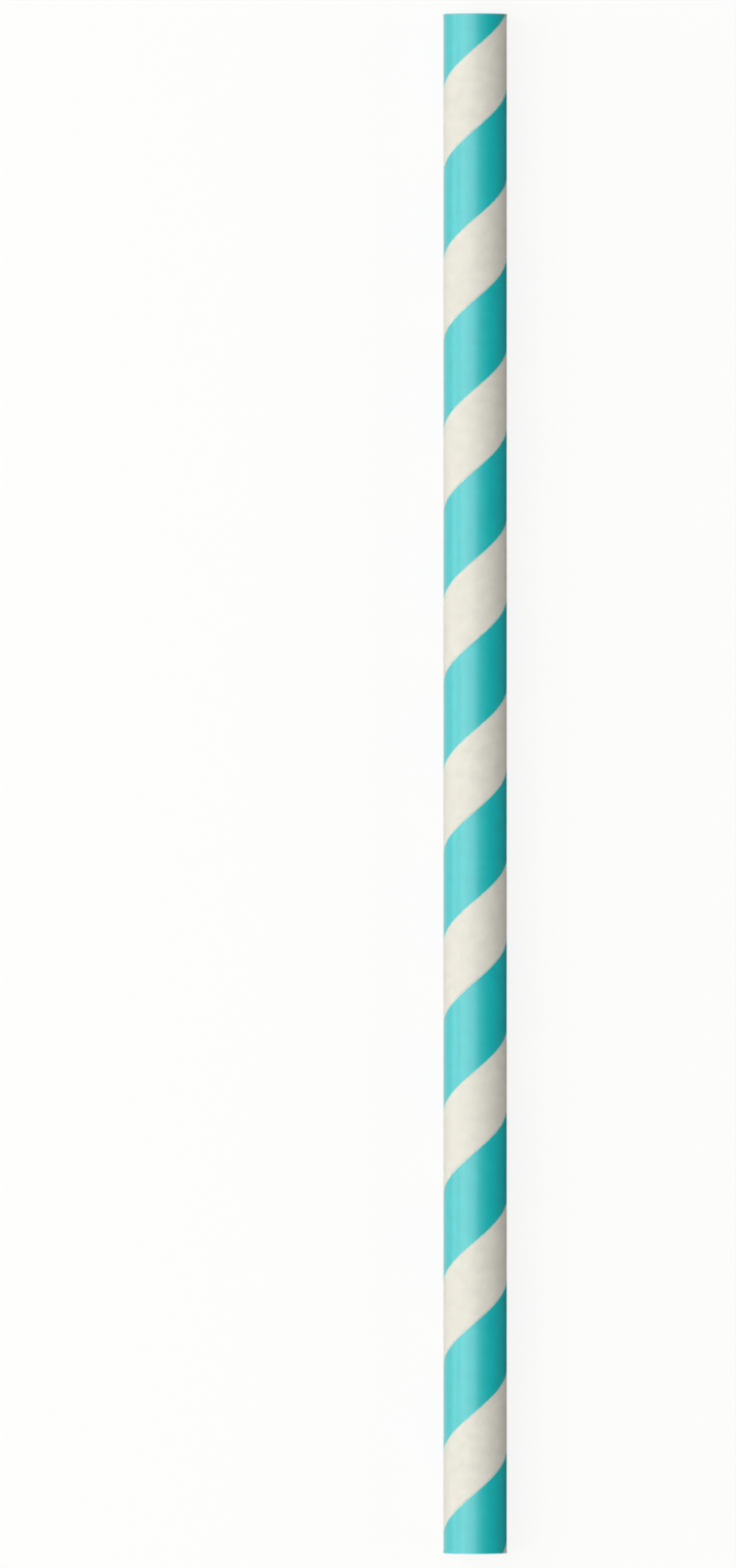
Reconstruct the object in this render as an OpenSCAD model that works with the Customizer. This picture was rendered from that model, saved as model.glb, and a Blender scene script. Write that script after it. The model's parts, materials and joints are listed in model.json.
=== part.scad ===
// Drinking straw wound from paper strip, lying along Y on the plane z = 0.
// The outermost strip is wound edge to edge, and the line where its turns meet
// runs round the straw as a fine right-handed helix.

/* [Tube] */
// Length from one cut end to the other
straw_length = 197; // [100:1:300]
// Outside diameter of the tube
outer_d = 8.1; // [5:0.1:14]
// Thickness of the wound wall
wall_t = 0.42; // [0.3:0.02:0.8]

/* [Winding] */
// Length of straw that one turn of the outer strip takes up
winding_pitch = 21.8; // [12:0.1:40]
// Distance from the +Y end to the seam's first crossing of the straw's top
first_crossing = 14.7; // [0:0.1:40]
// Thickness of the outer strip, and so the depth of its seam
strip_t = 0.08; // [0.06:0.01:0.2]
// Gap that the strip leaves between one turn and the next
seam_gap = 0.16; // [0.08:0.01:0.4]

/* [Cut ends] */
// How far the burr of raised fibre at each end stands out from the tube
burr_h = 0.05; // [0.03:0.01:0.1]
// Length over which the tube widens to that burr
burr_length = 0.5; // [0.2:0.1:2]
// What is left of the burr underneath, where the straw lies and presses it down
pressed_burr_h = 0.01; // [0.01:0.01:0.02]

/* [Hidden] */

// How far a cutting shape runs past the face that it cuts
overrun = 1;
// Sides that the tube's two round walls are drawn with
round_sides = 96;
// Flat steps that one turn of the seam is drawn with
steps_per_turn = 36;

outer_r = outer_d / 2;
bore_d = outer_d - 2 * wall_t;
burr_d = outer_d + 2 * burr_h;
// Height of the straw's axis over the surface that it lies on
axis_h = outer_r + pressed_burr_h;
cut_length = straw_length + 2 * overrun;
cut_turns = cut_length / winding_pitch;
// Slope of the winding against the straw's round section
winding_angle = atan(winding_pitch / (PI * outer_d));
// Width of the seam on the straw's round section, which cuts it at a slant
seam_width_round = seam_gap / sin(winding_angle);
// The seam's floor is drawn in flat steps, and the middle of each lies at the strip's full depth
seam_floor_r = (outer_r - strip_t) / cos(180 / steps_per_turn);

// Angle of the straw's top about its axis, from +X, before the straw is laid down
top_angle = -90;
// Angle of the seam where its cutting shape begins, past the -Y end
seam_start_angle = top_angle - 360 * (straw_length + overrun - first_crossing) / winding_pitch;

// Helical slot, open to the outside, that the strip's two edges leave between them
module seam() {
    rotate(seam_start_angle)
        translate([0, 0, -cut_length / 2])
            linear_extrude(
                height = cut_length,
                twist = -360 * cut_turns,
                slices = ceil(cut_turns * steps_per_turn)
            )
                translate([seam_floor_r, -seam_width_round / 2])
                    square([strip_t + overrun, seam_width_round]);
}

// Outside of the tube, which widens to a burr at both of its square-cut ends
module outside() {
    cylinder(h = straw_length, d = outer_d, center = true, $fn = round_sides);
    for (end = [0, 1])
        mirror([0, 0, end])
            translate([0, 0, straw_length / 2 - burr_length])
                cylinder(h = burr_length, d1 = outer_d, d2 = burr_d, $fn = round_sides);
}

// Everything below the surface that the straw lies on
module below_surface() {
    translate([-burr_d / 2, -cut_length / 2, -overrun])
        cube([burr_d, cut_length, overrun]);
}

// The straw's wall, open right through, which lies on the pressed burrs at its two ends
module paper_tube() {
    color("mediumturquoise")
        difference() {
            translate([0, 0, axis_h])
                rotate([-90, 0, 0])
                    difference() {
                        outside();
                        cylinder(h = cut_length, d = bore_d, center = true, $fn = round_sides);
                        seam();
                    }
            below_surface();
        }
}

paper_tube();
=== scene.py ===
import json
import math
from functools import partial

import bpy
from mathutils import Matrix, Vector


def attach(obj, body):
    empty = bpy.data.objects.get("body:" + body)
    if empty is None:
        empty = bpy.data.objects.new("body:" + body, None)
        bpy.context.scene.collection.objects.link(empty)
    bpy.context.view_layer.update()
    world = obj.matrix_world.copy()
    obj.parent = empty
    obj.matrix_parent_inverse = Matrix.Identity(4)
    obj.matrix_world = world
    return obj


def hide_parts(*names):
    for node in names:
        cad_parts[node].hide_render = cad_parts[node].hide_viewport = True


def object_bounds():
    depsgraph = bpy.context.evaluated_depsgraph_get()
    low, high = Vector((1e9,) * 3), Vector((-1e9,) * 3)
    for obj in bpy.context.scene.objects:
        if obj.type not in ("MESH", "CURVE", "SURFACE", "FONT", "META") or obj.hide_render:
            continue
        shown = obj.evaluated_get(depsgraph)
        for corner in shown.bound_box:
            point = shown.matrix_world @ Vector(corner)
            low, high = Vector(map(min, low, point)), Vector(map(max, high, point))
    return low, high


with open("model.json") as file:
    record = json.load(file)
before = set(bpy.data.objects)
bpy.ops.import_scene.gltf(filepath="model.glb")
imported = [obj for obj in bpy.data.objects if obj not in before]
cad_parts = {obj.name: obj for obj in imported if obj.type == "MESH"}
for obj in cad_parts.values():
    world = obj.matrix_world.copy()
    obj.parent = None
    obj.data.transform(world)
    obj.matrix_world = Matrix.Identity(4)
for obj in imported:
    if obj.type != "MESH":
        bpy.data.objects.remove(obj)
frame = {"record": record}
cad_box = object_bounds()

# A drinking straw wound from paper strip, lying along Y on the plane z = 0. Metres throughout.

MM = 0.001

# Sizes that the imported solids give
mounts = {mount["name"]: mount for mount in frame["record"]["mounts"]}
TUBE_R = mounts["outer_wall"]["dims"]["r_mm"] * MM
BORE_R = mounts["bore"]["dims"]["r_mm"] * MM
AXIS_H = mounts["bore"]["pos_m"][2]
BURR_R = cad_box[1].x
STRAW_L = cad_box[1].y - cad_box[0].y
END_Y = STRAW_L / 2
WALL_T = TUBE_R - BORE_R

# The outer strip: the length that one turn takes up, and its seam's first crossing of the top
WINDING_PITCH = 21.8 * MM
SEAM_Y = END_Y - 14.7 * MM
STRIP_T = 0.08 * MM
SEAM_GAP = 0.16 * MM
WINDING_ANGLE = math.atan(WINDING_PITCH / (2 * math.pi * TUBE_R))
# Half of the seam's gap, measured along the straw
SEAM_HALF = SEAM_GAP / 2 / math.cos(WINDING_ANGLE)
BURR_L = 0.5 * MM
# The wall dips this far at most, in slow waves of this size
UNEVENNESS = 0.012 * MM
WAVE_SIZE = 7 * MM
# The coloured band takes up this share of the strip's width, against the seam
BAND_SHARE = 0.528

# The photograph's frame and the straw's place in it, in its pixels
FRAME_W_PX, FRAME_H_PX = 760, 1620
STRAW_X_PX = 490.6
STRAW_TOP_PX, STRAW_FOOT_PX = 14.8, 1604.5


def linear(hex_colour):
    """An sRGB hex colour as the linear RGBA that Blender's sockets take."""
    shares = [int(hex_colour[i:i + 2], 16) / 255 for i in (1, 3, 5)]
    return [s / 12.92 if s <= 0.04045 else ((s + 0.055) / 1.055) ** 2.4 for s in shares] + [1]


def add(tree, kind, inputs=(), **settings):
    """Add a node. An input takes a value, a socket, or a node whose first live output it follows."""
    node = tree.nodes.new(kind)
    for name, value in settings.items():
        setattr(node, name, value)
    for key, value in dict(inputs).items():
        named = [s for s in node.inputs if s.enabled and s.name == key]
        socket = named[0] if named else node.inputs[key]
        if isinstance(value, bpy.types.Node):
            value = next(s for s in value.outputs if s.enabled)
        if isinstance(value, bpy.types.NodeSocket):
            tree.links.new(value, socket)
        else:
            socket.default_value = value
    return node


def set_curve(curve, heights):
    """Lay a Float Curve's points evenly from 0 to 1 at these heights, with straight runs between."""
    points = curve.mapping.curves[0].points
    while len(points) < len(heights):
        points.new(0.5, 0.5)
    for i, height in enumerate(heights):
        points[i].location = (i / (len(heights) - 1), height)
        points[i].handle_type = "VECTOR"
    curve.mapping.update()
    return curve


def new_material(name):
    """An empty material and the adder for its nodes."""
    material = bpy.data.materials.new(name)
    material.use_nodes = True
    material.node_tree.nodes.clear()
    return material, partial(add, material.node_tree)


# Materials

# The values that a noise mostly stays between
NOISE_SPAN = {"From Min": 0.3, "From Max": 0.7}
BARE_PAPER_IOR = 1.45


def straw_place(put):
    """A point's object coordinates, its offset from the straw's axis and its distance from it."""
    place = put("ShaderNodeTexCoord").outputs["Object"]
    offset = put("ShaderNodeVectorMath", {0: place, 1: (0, 0, AXIS_H)}, operation="SUBTRACT")
    across = put("ShaderNodeVectorMath", {0: offset, 1: (1, 0, 1)}, operation="MULTIPLY")
    radius = put("ShaderNodeVectorMath", {0: across}, operation="LENGTH").outputs["Value"]
    return place, offset, radius


def strip_place(put, offset, seam_y):
    """A point's turns along the straw from where a seam crosses its top, and turns past that seam."""
    part = put("ShaderNodeSeparateXYZ", {0: offset}).outputs
    angle = put("ShaderNodeMath", {0: part["X"], 1: part["Z"]}, operation="ARCTAN2")
    along = put("ShaderNodeMath", {0: part["Y"], 1: -seam_y}, operation="ADD")
    turns = put("ShaderNodeMath", {0: along, 1: 1 / WINDING_PITCH}, operation="MULTIPLY")
    past_seam = put("ShaderNodeMath", {0: angle, 1: -1 / (2 * math.pi), 2: turns},
                    operation="MULTIPLY_ADD")
    return turns, past_seam


def printed_strip(name, ior, smoothest, roughest, varnish):
    """Calendered white paper that was printed with one band of ink before winding.

    The eye sees faintly mottled ink whose edges bled a little into the fibres, warm white paper
    between the bands and down in the seam, and close up the fibres that lie along the strip.
    """
    material, put = new_material(name)
    place, offset, radius = straw_place(put)
    turns, past_seam = strip_place(put, offset, SEAM_Y)

    # Clumps of fibre, coarser than the real ones so that they show
    fine_clump, broad_clump = 0.3 * MM, 1.6 * MM
    grain = put("ShaderNodeTexNoise", {"Vector": place, "Scale": 1 / fine_clump, "Detail": 3})
    clumps = put("ShaderNodeTexNoise", {"Vector": place, "Scale": 1 / broad_clump, "Detail": 2})

    # Fibres that lie along the strip, a few times wider than real ones so that they show
    fibre_length, fibre_width = 1.4 * MM, 0.09 * MM
    turn_length = WINDING_PITCH / math.sin(WINDING_ANGLE)
    strip_width = WINDING_PITCH * math.cos(WINDING_ANGLE)
    on_turn = put("ShaderNodeMath", {0: past_seam}, operation="FRACT")
    seam_turns = put("ShaderNodeMath", {0: turns, 1: on_turn}, operation="SUBTRACT")
    along_strip = put("ShaderNodeMath", {0: seam_turns, 1: turn_length / fibre_length},
                      operation="MULTIPLY")
    across_strip = put("ShaderNodeMath", {0: on_turn, 1: strip_width / fibre_width},
                       operation="MULTIPLY")
    fibre_place = put("ShaderNodeCombineXYZ", {"X": along_strip, "Y": across_strip})
    fibre = put("ShaderNodeTexNoise", {"Vector": fibre_place, "Scale": 1, "Detail": 2})

    # The band's edge strays this far along the fibres, and bleeds this far into them
    stray, bleed = 0.1 * MM / WINDING_PITCH, 0.12 * MM / WINDING_PITCH
    strayed = put("ShaderNodeMapRange", {"Value": grain, "To Min": -stray, "To Max": stray})
    ragged = put("ShaderNodeMath", {0: past_seam, 1: strayed}, operation="ADD")
    across = put("ShaderNodeMath", {0: ragged}, operation="FRACT")
    band_middle, band_half = 1 - BAND_SHARE / 2, BAND_SHARE / 2
    off_band = put("ShaderNodeMath", {0: across, 1: band_middle}, operation="SUBTRACT")
    off_middle = put("ShaderNodeMath", {0: off_band}, operation="ABSOLUTE")
    band = put("ShaderNodeMapRange", {
        "Value": off_middle, "From Min": band_half - bleed, "From Max": band_half + bleed,
        "To Min": 1, "To Max": 0}, interpolation_type="SMOOTHSTEP")
    # Ink lies on the outer face alone: it ends below this depth, which the wall's waves don't reach
    ink_depth = 0.03 * MM
    on_face = put("ShaderNodeMapRange", {
        "Value": radius, "From Min": TUBE_R - 2 * ink_depth, "From Max": TUBE_R - ink_depth})
    inked = put("ShaderNodeMath", {0: band, 1: on_face}, operation="MULTIPLY")
    paper, ink = linear("#E8E5D8"), linear("#0AC3C5")
    colour = put("ShaderNodeMix", {"Factor": inked, "A": paper, "B": ink}, data_type="RGBA")

    # Clumps and fibres vary the tone by a few hundredths, and clumps the gloss
    mottling, streaking = 0.035, 0.03
    mottle = put("ShaderNodeMapRange", {
        "Value": clumps, **NOISE_SPAN, "To Min": 1 - mottling, "To Max": 1 + mottling})
    streaks = put("ShaderNodeMapRange", {
        "Value": fibre, **NOISE_SPAN, "To Min": 1 - streaking, "To Max": 1 + streaking})
    tone = put("ShaderNodeMath", {0: mottle, 1: streaks}, operation="MULTIPLY")
    toned = put("ShaderNodeVectorMath", {0: colour, "Scale": tone}, operation="SCALE")
    rough = put("ShaderNodeMapRange", {
        "Value": clumps, **NOISE_SPAN, "To Min": smoothest, "To Max": roughest})
    height = put("ShaderNodeMath", {0: grain, 1: fibre}, operation="ADD")
    relief = put("ShaderNodeBump", {"Height": height, "Strength": 0.5, "Distance": 0.012 * MM})
    # Varnish is about 1.5, raised here to match the strength of the real highlight
    varnish_ior = 1.65
    shader = put("ShaderNodeBsdfPrincipled", {
        "Base Color": toned, "Roughness": rough, "Normal": relief, "IOR": ior,
        "Coat Weight": varnish, "Coat IOR": varnish_ior, "Coat Roughness": smoothest})
    put("ShaderNodeOutputMaterial", {"Surface": shader})
    return material


def bare_strip_paper():
    """The strip between its bands: uncoated, so only a dull sheen."""
    return printed_strip(
        "bare_strip_paper", ior=BARE_PAPER_IOR, smoothest=0.5, roughest=0.6, varnish=0)


def varnished_ink():
    """The band: ink under a thin water-based varnish, which gives a broad satin highlight."""
    return printed_strip("varnished_ink", ior=1.5, smoothest=0.385, roughest=0.43, varnish=1)


def cut_paper_edge():
    """The three plies cut across: bare fibre, matte and a little darker, with thin glue lines."""
    material, put = new_material("cut_paper_edge")
    place, _, radius = straw_place(put)
    depth = put("ShaderNodeMapRange", {"Value": radius, "From Min": TUBE_R, "From Max": BORE_R})

    # From the outside in, with glue between the plies that fades out over this much to each side
    glue_half = 0.0147 * MM / WALL_T
    paper_by_glue, glue = linear("#E2DCCA"), linear("#B9AE96")
    plies = put("ShaderNodeValToRGB", {"Fac": depth})
    plies.color_ramp.elements[0].color = linear("#E6E1D0")
    plies.color_ramp.elements[1].color = linear("#DDD6C3")
    for joint in (STRIP_T / WALL_T, (WALL_T + STRIP_T) / 2 / WALL_T):
        for off, shade in ((-glue_half, paper_by_glue), (0, glue), (glue_half, paper_by_glue)):
            plies.color_ramp.elements.new(joint + off).color = shade

    # Ends of cut fibre, coarser than the real ones so that they show
    fibre_end = 0.12 * MM
    fibre = put("ShaderNodeTexNoise", {"Vector": place, "Scale": 1 / fibre_end, "Detail": 3})
    tone = put("ShaderNodeMapRange", {"Value": fibre, **NOISE_SPAN, "To Min": 0.9, "To Max": 1.05})
    toned = put("ShaderNodeVectorMath", {0: plies, "Scale": tone}, operation="SCALE")
    relief = put("ShaderNodeBump", {"Height": fibre, "Strength": 0.6, "Distance": 0.03 * MM})
    shader = put("ShaderNodeBsdfPrincipled", {
        "Base Color": toned, "Roughness": 0.9, "Normal": relief, "IOR": BARE_PAPER_IOR})
    put("ShaderNodeOutputMaterial", {"Surface": shader})
    return material


def bare_inner_paper():
    """Uncoated white paper inside the tube: matte, with the inner strip's own seam."""
    material, put = new_material("bare_inner_paper")
    place, offset, _ = straw_place(put)

    # The inner strip's seam lies half a turn off the straw's middle, dark at its core
    seam_core, seam_edge = 0.08 * MM / WINDING_PITCH, 0.2 * MM / WINDING_PITCH
    seam_tone = 0.72
    _, past_middle = strip_place(put, offset, 0)
    across = put("ShaderNodeMath", {0: past_middle}, operation="FRACT")
    off_seam = put("ShaderNodeMath", {0: across, 1: 0.5}, operation="SUBTRACT")
    seam_side = put("ShaderNodeMath", {0: off_seam}, operation="ABSOLUTE")
    seam = put("ShaderNodeMapRange", {
        "Value": seam_side, "From Min": seam_core, "From Max": seam_edge,
        "To Min": seam_tone, "To Max": 1})

    # Clumps of fibre, coarser than the real ones so that they show
    clump = 0.35 * MM
    fibre = put("ShaderNodeTexNoise", {"Vector": place, "Scale": 1 / clump, "Detail": 3})
    tone = put("ShaderNodeMapRange", {
        "Value": fibre, **NOISE_SPAN, "To Min": 0.95, "To Max": 1.03})
    shade = put("ShaderNodeMath", {0: tone, 1: seam}, operation="MULTIPLY")
    paper = linear("#E8E3D3")[:3]
    toned = put("ShaderNodeVectorMath", {0: paper, "Scale": shade}, operation="SCALE")
    relief = put("ShaderNodeBump", {"Height": fibre, "Strength": 0.5, "Distance": 0.02 * MM})
    shader = put("ShaderNodeBsdfPrincipled", {
        "Base Color": toned, "Roughness": 0.85, "Normal": relief, "IOR": BARE_PAPER_IOR})
    put("ShaderNodeOutputMaterial", {"Surface": shader})
    return material


# The straw's mesh

COLUMNS_PER_TURN = 160
BORE_ROWS = 33
ROWS_PER_COLOUR = 12
# In halves of the seam's gap: where its floor ends, where its lip is level, and the rows beside it
SEAM_FLOOR, SEAM_LIP = 0.8, 1.4
SEAM_ROWS = [0, SEAM_FLOOR, 1, 1.35, 2.2]
# Profile of a cut end, from where its rings leave the wall to the bore: distance short of the end
# in millimetres and share of the wall's thickness passed. Two shallow dips are the glue lines.
END_PROFILE = [
    (0.6, 0), (0.5, 0), (0.35, 0), (0.2, 0), (0.08, 0), (0.02, 0), (0, 0.05), (0, 0.16),
    (0.025, 0.19), (0, 0.22), (0.005, 0.4), (0.01, 0.56), (0.035, 0.595), (0.01, 0.63),
    (0.01, 0.8), (0.015, 0.95), (0.04, 1),
]
# Length at each end that is meshed in rings of its own, so that the burr stays even all round
END_ZONE = END_PROFILE[0][0] * MM
WALL_REACH = END_Y - END_ZONE
# How far the inner edge of each cut end is drawn back from its outer edge
INNER_DROP = END_PROFILE[-1][0] * MM
# Points closer than this are one, and edges that turn by more than this stay sharp
MERGE_GAP = 0.001 * MM
CREASE_ANGLE = math.radians(40)

SIZES = {
    "End Y": END_Y, "Wall Reach": WALL_REACH, "End Zone": END_ZONE, "Inner Drop": INNER_DROP,
    "Tube Radius": TUBE_R, "Bore Radius": BORE_R, "Axis Height": AXIS_H,
    "Winding Pitch": WINDING_PITCH, "Seam Y": SEAM_Y, "Seam Half": SEAM_HALF, "Seam Depth": STRIP_T,
    "Burr Height": BURR_R - TUBE_R, "Burr Length": BURR_L, "Unevenness": UNEVENNESS,
}
UNIT_SHEET = {"Size X": 1, "Size Y": 1}


def strip_rows():
    """Places of the mesh's rows across the strip, as shares of its pitch: close at the seam only."""
    near = [row * SEAM_HALF / WINDING_PITCH for row in SEAM_ROWS]
    band_edge = 1 - BAND_SHARE
    bare_step = (band_edge - near[-1]) / ROWS_PER_COLOUR
    inked_step = (BAND_SHARE - near[-1]) / ROWS_PER_COLOUR
    bare = [near[-1] + bare_step * i for i in range(1, ROWS_PER_COLOUR)]
    inked = [band_edge + inked_step * i for i in range(ROWS_PER_COLOUR)]
    return near + bare + inked + [1 - row for row in reversed(near)]


def flat_strip(put, size, round_share, row_share):
    """The outer strip laid out flat, turn after turn, and cut off level short of both ends."""
    first = math.floor((-WALL_REACH - WINDING_PITCH - SEAM_Y) / WINDING_PITCH * COLUMNS_PER_TURN)
    last = math.ceil((WALL_REACH - SEAM_Y) / WINDING_PITCH * COLUMNS_PER_TURN)
    rows = strip_rows()
    sheet = put("GeometryNodeMeshGrid", {
        **UNIT_SHEET, "Vertices X": last - first + 1, "Vertices Y": len(rows)})
    turn = put("ShaderNodeMapRange", {
        "Value": round_share,
        "To Min": first / COLUMNS_PER_TURN, "To Max": last / COLUMNS_PER_TURN})
    seam_line = put("ShaderNodeMath", {0: turn, 1: size["Winding Pitch"], 2: size["Seam Y"]},
                    operation="MULTIPLY_ADD")
    row = set_curve(put("ShaderNodeFloatCurve", {"Value": row_share}), rows)
    length = put("ShaderNodeMath", {0: row, 1: size["Winding Pitch"], 2: seam_line},
                 operation="MULTIPLY_ADD")
    lowest = put("ShaderNodeMath", {0: size["Wall Reach"], 1: -1}, operation="MULTIPLY")
    level = put("ShaderNodeClamp", {"Value": length, "Min": lowest, "Max": size["Wall Reach"]})
    return put("GeometryNodeSetPosition", {
        "Geometry": sheet.outputs["Mesh"],
        "Position": put("ShaderNodeCombineXYZ", {"X": turn, "Y": level})})


def flat_end(put, size, round_share, row_share):
    """The cut end at +Y laid out flat, from the burr outside to the edge of the bore."""
    sheet = put("GeometryNodeMeshGrid", {
        **UNIT_SHEET, "Vertices X": COLUMNS_PER_TURN + 1, "Vertices Y": len(END_PROFILE)})
    short = set_curve(put("ShaderNodeFloatCurve", {"Value": row_share}),
                      [short * MM / END_ZONE for short, _ in END_PROFILE])
    passed = set_curve(put("ShaderNodeFloatCurve", {"Value": row_share}),
                       [share for _, share in END_PROFILE])
    back = put("ShaderNodeMath", {0: short, 1: size["End Zone"]}, operation="MULTIPLY")
    length = put("ShaderNodeMath", {0: size["End Y"], 1: back}, operation="SUBTRACT")
    return put("GeometryNodeSetPosition", {
        "Geometry": sheet.outputs["Mesh"],
        "Position": put("ShaderNodeCombineXYZ", {"X": round_share, "Y": length, "Z": passed})})


def flat_bore(put, size, round_share, row_share):
    """The bore's wall laid out flat, a whole wall deep and facing inwards."""
    sheet = put("GeometryNodeMeshGrid", {
        **UNIT_SHEET, "Vertices X": COLUMNS_PER_TURN + 1, "Vertices Y": BORE_ROWS})
    top = put("ShaderNodeMath", {0: size["End Y"], 1: size["Inner Drop"]}, operation="SUBTRACT")
    foot = put("ShaderNodeMath", {0: top, 1: -1}, operation="MULTIPLY")
    length = put("ShaderNodeMapRange", {"Value": row_share, "To Min": foot, "To Max": top})
    bore = put("GeometryNodeSetPosition", {
        "Geometry": sheet.outputs["Mesh"],
        "Position": put("ShaderNodeCombineXYZ", {"X": round_share, "Y": length, "Z": 1})})
    return put("GeometryNodeFlipFaces", {"Mesh": bore})


def note_shares(put, size, flat, sheets):
    """Note on each face how much of the wall and of the strip's width is passed there."""
    from_seam = put("ShaderNodeMath", {0: flat["Y"], 1: size["Seam Y"]}, operation="SUBTRACT")
    turns = put("ShaderNodeMath", {0: from_seam, 1: size["Winding Pitch"]}, operation="DIVIDE")
    off_turn = put("ShaderNodeMath", {0: turns, 1: flat["X"]}, operation="SUBTRACT")
    strip_share = put("ShaderNodeMath", {0: off_turn}, operation="FRACT")
    for name, share in (("wall_share", flat["Z"]), ("strip_share", strip_share)):
        sheets = put("GeometryNodeStoreNamedAttribute", {
            "Geometry": sheets, "Name": name, "Value": share}, data_type="FLOAT", domain="FACE")
    return sheets


def seam_dip(put, size, flat):
    """How deep the outside sinks between two turns of the strip."""
    lead = put("ShaderNodeMath", {0: flat["X"], 1: size["Winding Pitch"], 2: size["Seam Y"]},
               operation="MULTIPLY_ADD")
    off_lead = put("ShaderNodeMath", {0: flat["Y"], 1: lead}, operation="SUBTRACT")
    half_pitch = put("ShaderNodeMath", {0: size["Winding Pitch"], 1: 0.5}, operation="MULTIPLY")
    minus_half = put("ShaderNodeMath", {0: half_pitch, 1: -1}, operation="MULTIPLY")
    wrapped = put("ShaderNodeMath", {0: off_lead, 1: half_pitch, 2: minus_half}, operation="WRAP")
    off_seam = put("ShaderNodeMath", {0: wrapped}, operation="ABSOLUTE")
    floor_half = put("ShaderNodeMath", {0: size["Seam Half"], 1: SEAM_FLOOR}, operation="MULTIPLY")
    lip_half = put("ShaderNodeMath", {0: size["Seam Half"], 1: SEAM_LIP}, operation="MULTIPLY")
    return put("ShaderNodeMapRange", {
        "Value": off_seam, "From Min": floor_half, "From Max": lip_half,
        "To Min": size["Seam Depth"], "To Max": 0}, interpolation_type="SMOOTHSTEP")


def burr_flare(put, size, flat):
    """How far the outside widens towards the burr at each end."""
    from_middle = put("ShaderNodeMath", {0: flat["Y"]}, operation="ABSOLUTE")
    from_end = put("ShaderNodeMath", {0: size["End Y"], 1: from_middle}, operation="SUBTRACT")
    return put("ShaderNodeMapRange", {
        "Value": from_end, "From Min": 0, "From Max": size["Burr Length"],
        "To Min": size["Burr Height"], "To Max": 0}, interpolation_type="SMOOTHSTEP")


def roll_up(put, size, flat, sheets):
    """Roll the flat sheets into a tube, and press its burr flat underneath."""
    angle = put("ShaderNodeMath", {0: flat["X"], 1: 2 * math.pi}, operation="MULTIPLY")
    sine = put("ShaderNodeMath", {0: angle}, operation="SINE")
    cosine = put("ShaderNodeMath", {0: angle}, operation="COSINE")

    # The wall's waves are read on the rolled tube, so that they close all round
    side = put("ShaderNodeCombineXYZ", {"X": sine, "Z": cosine})
    side = put("ShaderNodeVectorMath", {0: side, "Scale": size["Tube Radius"]}, operation="SCALE")
    rolled = put("ShaderNodeVectorMath", {
        0: side, 1: put("ShaderNodeCombineXYZ", {"Y": flat["Y"]})}, operation="ADD")
    waves = put("ShaderNodeTexNoise", {"Vector": rolled, "Scale": 1 / WAVE_SIZE, "Detail": 1})
    wave_dip = put("ShaderNodeMath", {0: waves, 1: size["Unevenness"]}, operation="MULTIPLY")

    outside = put("ShaderNodeMath", {0: size["Tube Radius"], 1: burr_flare(put, size, flat)},
                  operation="ADD")
    for dip in (seam_dip(put, size, flat), wave_dip):
        outside = put("ShaderNodeMath", {0: outside, 1: dip}, operation="SUBTRACT")
    radius = put("ShaderNodeMapRange", {
        "Value": flat["Z"], "To Min": outside, "To Max": size["Bore Radius"]})
    x = put("ShaderNodeMath", {0: radius, 1: sine}, operation="MULTIPLY")
    z = put("ShaderNodeMath", {0: radius, 1: cosine, 2: size["Axis Height"]},
            operation="MULTIPLY_ADD")
    pressed = put("ShaderNodeMath", {0: z, 1: 0}, operation="MAXIMUM")
    return put("GeometryNodeSetPosition", {
        "Geometry": sheets,
        "Position": put("ShaderNodeCombineXYZ", {"X": x, "Y": flat["Y"], "Z": pressed})})


def wound_straw_tree(bare, inked, cut, inner):
    """The straw as a tree: sheets laid out flat as turn, length and depth, then rolled up."""
    tree = bpy.data.node_groups.new("wound_straw", "GeometryNodeTree")
    put = partial(add, tree)
    for name in SIZES:
        tree.interface.new_socket(name, in_out="INPUT", socket_type="NodeSocketFloat")
    tree.interface.new_socket("Straw", in_out="OUTPUT", socket_type="NodeSocketGeometry")
    size = put("NodeGroupInput").outputs

    # Each sheet starts as a unit square about its own middle
    flat = put("ShaderNodeSeparateXYZ", {0: put("GeometryNodeInputPosition")}).outputs
    round_share = put("ShaderNodeMath", {0: flat["X"], 1: 0.5}, operation="ADD")
    row_share = put("ShaderNodeMath", {0: flat["Y"], 1: 0.5}, operation="ADD")
    strip = flat_strip(put, size, round_share, row_share)
    upper_end = flat_end(put, size, round_share, row_share)
    mirrored = put("GeometryNodeTransform", {"Geometry": upper_end, "Scale": (1, -1, 1)})
    lower_end = put("GeometryNodeFlipFaces", {"Mesh": mirrored})
    bore = flat_bore(put, size, round_share, row_share)
    sheets = put("GeometryNodeJoinGeometry")
    for sheet in (bore, lower_end, upper_end, strip):
        tree.links.new(sheet.outputs[0], sheets.inputs[0])

    sheets = note_shares(put, size, flat, sheets)
    straw = roll_up(put, size, flat, sheets)
    straw = put("GeometryNodeMergeByDistance", {"Geometry": straw, "Distance": MERGE_GAP})
    edge_angle = put("GeometryNodeInputMeshEdgeAngle").outputs["Unsigned Angle"]
    smooth = put("FunctionNodeCompare", {"A": edge_angle, "B": CREASE_ANGLE},
                 data_type="FLOAT", operation="LESS_THAN")
    straw = put("GeometryNodeSetShadeSmooth", {"Geometry": straw, "Shade Smooth": smooth},
                domain="EDGE")
    straw = put("GeometryNodeRealizeInstances", {"Geometry": straw})

    # A cut end has passed some of the wall and the bore all of it, give or take a trace
    trace = 0.001
    straw = put("GeometryNodeSetMaterial", {"Geometry": straw, "Material": bare})
    for paper, share, least in ((inked, "strip_share", 1 - BAND_SHARE),
                                (cut, "wall_share", trace), (inner, "wall_share", 1 - trace)):
        shares = put("GeometryNodeInputNamedAttribute", {"Name": share}, data_type="FLOAT")
        chosen = put("FunctionNodeCompare", {"A": shares, "B": least},
                     data_type="FLOAT", operation="GREATER_THAN")
        straw = put("GeometryNodeSetMaterial", {
            "Geometry": straw, "Selection": chosen, "Material": paper})
    put("NodeGroupOutput", {"Straw": straw})
    return tree


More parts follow.
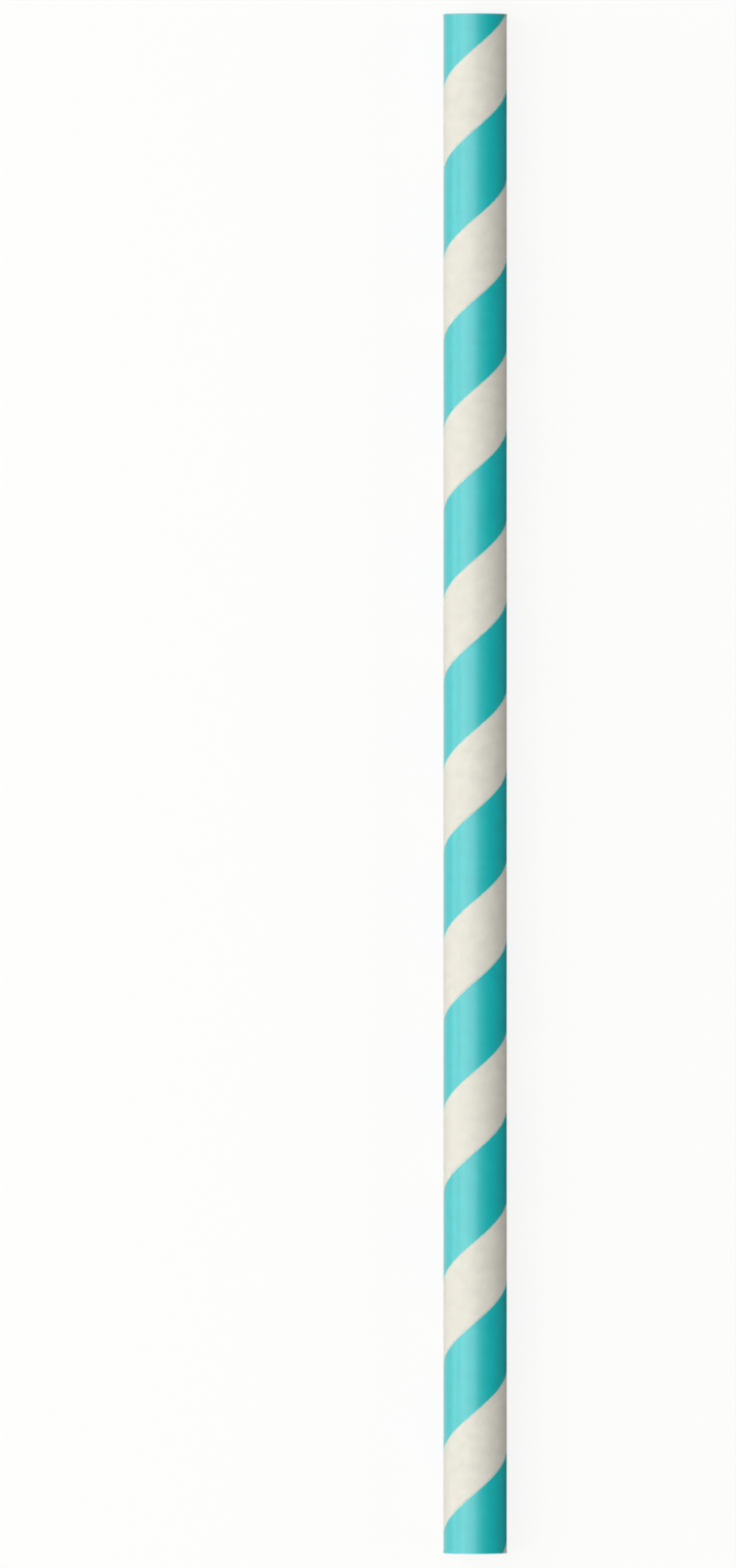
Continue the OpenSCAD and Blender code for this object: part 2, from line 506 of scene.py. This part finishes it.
def make_straw():
    """Grow the straw from its tree and keep the result as a plain mesh."""
    tree = wound_straw_tree(
        bare_strip_paper(), varnished_ink(), cut_paper_edge(), bare_inner_paper())
    piece = bpy.data.objects.new("straw", bpy.data.meshes.new("straw"))
    bpy.context.scene.collection.objects.link(piece)
    winding = piece.modifiers.new("winding", "NODES")
    winding.node_group = tree
    for socket in tree.interface.items_tree:
        if socket.in_out == "INPUT":
            winding[socket.identifier] = SIZES[socket.name]
    grown = piece.evaluated_get(bpy.context.evaluated_depsgraph_get())
    mesh = bpy.data.meshes.new_from_object(grown)
    piece.modifiers.remove(winding)
    piece.data = mesh
    return piece


straw = make_straw()
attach(straw, "root")
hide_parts("paper_tube")


# Stage, light and camera

# How much of the stage's white the straw's gloss mirrors: as painted light on the floor's left half,
# and in the room
PAINTED_LIGHT_SHARE = 0.6
ROOM_SHARE = 0.05


def white_share(put, mirrored_share):
    """How far a ray sees the stage as plain white: fully from the camera, in part off satin paper."""
    ray = put("ShaderNodeLightPath").outputs
    seen = put("ShaderNodeMath", {0: ray["Is Camera Ray"], 1: ray["Is Transmission Ray"]},
               operation="MAXIMUM")
    mirrored = put("ShaderNodeMath", {0: ray["Is Glossy Ray"], 1: mirrored_share},
                   operation="MULTIPLY")
    return put("ShaderNodeMath", {0: seen, 1: mirrored}, operation="MAXIMUM")


def make_floor():
    """A wide sheet that shows white under a soft shadow, and throws back a quarter of the light.

    The straw's gloss sees painted light on its left half and a painted shadow on its shaded right
    half.
    """
    reach = 8
    corners = [(-reach, -reach, 0), (reach, -reach, 0), (reach, reach, 0), (-reach, reach, 0)]
    mesh = bpy.data.meshes.new("floor")
    mesh.from_pydata(corners, [], [(0, 1, 2, 3)])
    floor = bpy.data.objects.new("floor", mesh)
    bpy.context.scene.collection.objects.link(floor)

    material, put = new_material("white_floor_sheet")
    # The darkest tone is a painted shadow, which only the gloss sees, on the floor's right half
    white_sheet, grey_sheet, painted_shadow_right = linear("#FDFDFC"), linear("#8E8E8D"), linear("#303030")
    place = put("ShaderNodeTexCoord").outputs["Object"]
    across = put("ShaderNodeSeparateXYZ", {0: place}).outputs["X"]
    left = put("ShaderNodeMath", {0: across, 1: 0}, operation="LESS_THAN")
    # Painted light: the gloss sees the floor's left half as partly white, in place of the lit floor
    # there
    painted_light_left = put("ShaderNodeMath", {0: left, 1: PAINTED_LIGHT_SHARE}, operation="MULTIPLY")
    white = white_share(put, painted_light_left)
    glossy = put("ShaderNodeLightPath").outputs["Is Glossy Ray"]
    # Painted shadow: the gloss sees the right half as a dark sheet, in place of the straw's shadow on
    # the floor
    painted_shadow_mask = put("ShaderNodeMath", {0: glossy, 1: left}, operation="SUBTRACT", use_clamp=True)
    unseen_with_painted_shadow = put("ShaderNodeMix", {"Factor": painted_shadow_mask, "A": grey_sheet, "B": painted_shadow_right},
                 data_type="RGBA")
    tone = put("ShaderNodeMix", {"Factor": white, "A": unseen_with_painted_shadow, "B": white_sheet}, data_type="RGBA")
    sheet = put("ShaderNodeBsdfDiffuse", {"Color": tone})
    glow = put("ShaderNodeEmission", {"Color": linear("#FFFFFE"), "Strength": 1})

    # By the straw a part of the white is the lit sheet, which holds the shadow, and far off none is
    lit_reach, lit_end = 0.15, 0.5
    least_glow = 0.86
    far_off = put("ShaderNodeVectorMath", {0: place}, operation="LENGTH").outputs["Value"]
    glow_share = put("ShaderNodeMapRange", {
        "Value": far_off, "From Min": lit_reach, "From Max": lit_end,
        "To Min": least_glow, "To Max": 1}, interpolation_type="SMOOTHSTEP")
    glowing = put("ShaderNodeMath", {0: white, 1: glow_share}, operation="MULTIPLY")
    put("ShaderNodeOutputMaterial", {
        "Surface": put("ShaderNodeMixShader", {0: glowing, 1: sheet, 2: glow})})
    mesh.materials.append(material)


def make_world(strength):
    """Even room light, which the camera sees as white."""
    world = bpy.data.worlds.new("white_room")
    world.use_nodes = True
    world.node_tree.nodes.clear()
    put = partial(add, world.node_tree)
    room = put("ShaderNodeBackground", {"Color": (1, 1, 1, 1), "Strength": strength})
    white = put("ShaderNodeBackground", {"Color": (1, 1, 1, 1), "Strength": 1})
    put("ShaderNodeOutputWorld", {
        "Surface": put("ShaderNodeMixShader", {0: white_share(put, ROOM_SHARE), 1: room, 2: white})})
    bpy.context.scene.world = world


def make_softbox(name, place, size, watts, mirrored=True):
    """A softbox with its long side level, aimed at the straw's middle."""
    lamp = bpy.data.lights.new(name, "AREA")
    lamp.shape = "RECTANGLE"
    lamp.size, lamp.size_y = size
    lamp.energy = watts
    # Scattered rays carry gloss along, so none are sent to a lamp that the gloss is not to mirror
    lamp.cycles.use_multiple_importance_sampling = mirrored
    softbox = bpy.data.objects.new(name, lamp)
    softbox.location = place
    softbox.rotation_euler = (-Vector(place)).to_track_quat("-Z", "Y").to_euler()
    softbox.visible_camera = False
    softbox.visible_glossy = mirrored
    bpy.context.scene.collection.objects.link(softbox)


def make_camera():
    """Look straight down, at the photograph's scale and with the straw in its place there."""
    # A long lens, because the photograph shows no perspective
    lens, sensor = 500, 36
    metres_per_px = STRAW_L / (STRAW_FOOT_PX - STRAW_TOP_PX)
    camera = bpy.data.objects.new("camera", bpy.data.cameras.new("camera"))
    camera.data.lens, camera.data.sensor_width = lens, sensor
    camera.location = (
        (FRAME_W_PX / 2 - STRAW_X_PX) * metres_per_px,
        ((STRAW_FOOT_PX + STRAW_TOP_PX) / 2 - FRAME_H_PX / 2) * metres_per_px,
        AXIS_H + FRAME_H_PX * metres_per_px * lens / sensor)
    bpy.context.scene.collection.objects.link(camera)
    bpy.context.scene.camera = camera


make_floor()
make_world(strength=0.02)
# Light from above and from the left, and fills that leave no highlight
make_softbox("overhead_softbox", place=(-0.19, 0, 0.83), size=(0.9, 0.58), watts=3.15)
make_softbox("overhead_feather", place=(0.37, 0, 0.76), size=(0.9, 0.3), watts=0.26)
make_softbox("left_softbox", place=(-0.6, 0, 0.6), size=(0.9, 0.35), watts=2.95)
make_softbox("low_left_softbox", place=(-0.83, 0, 0.18), size=(0.9, 0.3), watts=2.25)
make_softbox("right_fill", place=(0.77, 0, 0.36), size=(0.9, 0.4), watts=1.8, mirrored=False)
make_softbox("near_end_fill", place=(0, -1, 0.15), size=(0.6, 0.25), watts=5, mirrored=False)
make_softbox("far_end_fill", place=(0, 1, 0.15), size=(0.6, 0.25), watts=5, mirrored=False)
make_camera()
bpy.context.scene.view_settings.view_transform = "Standard"
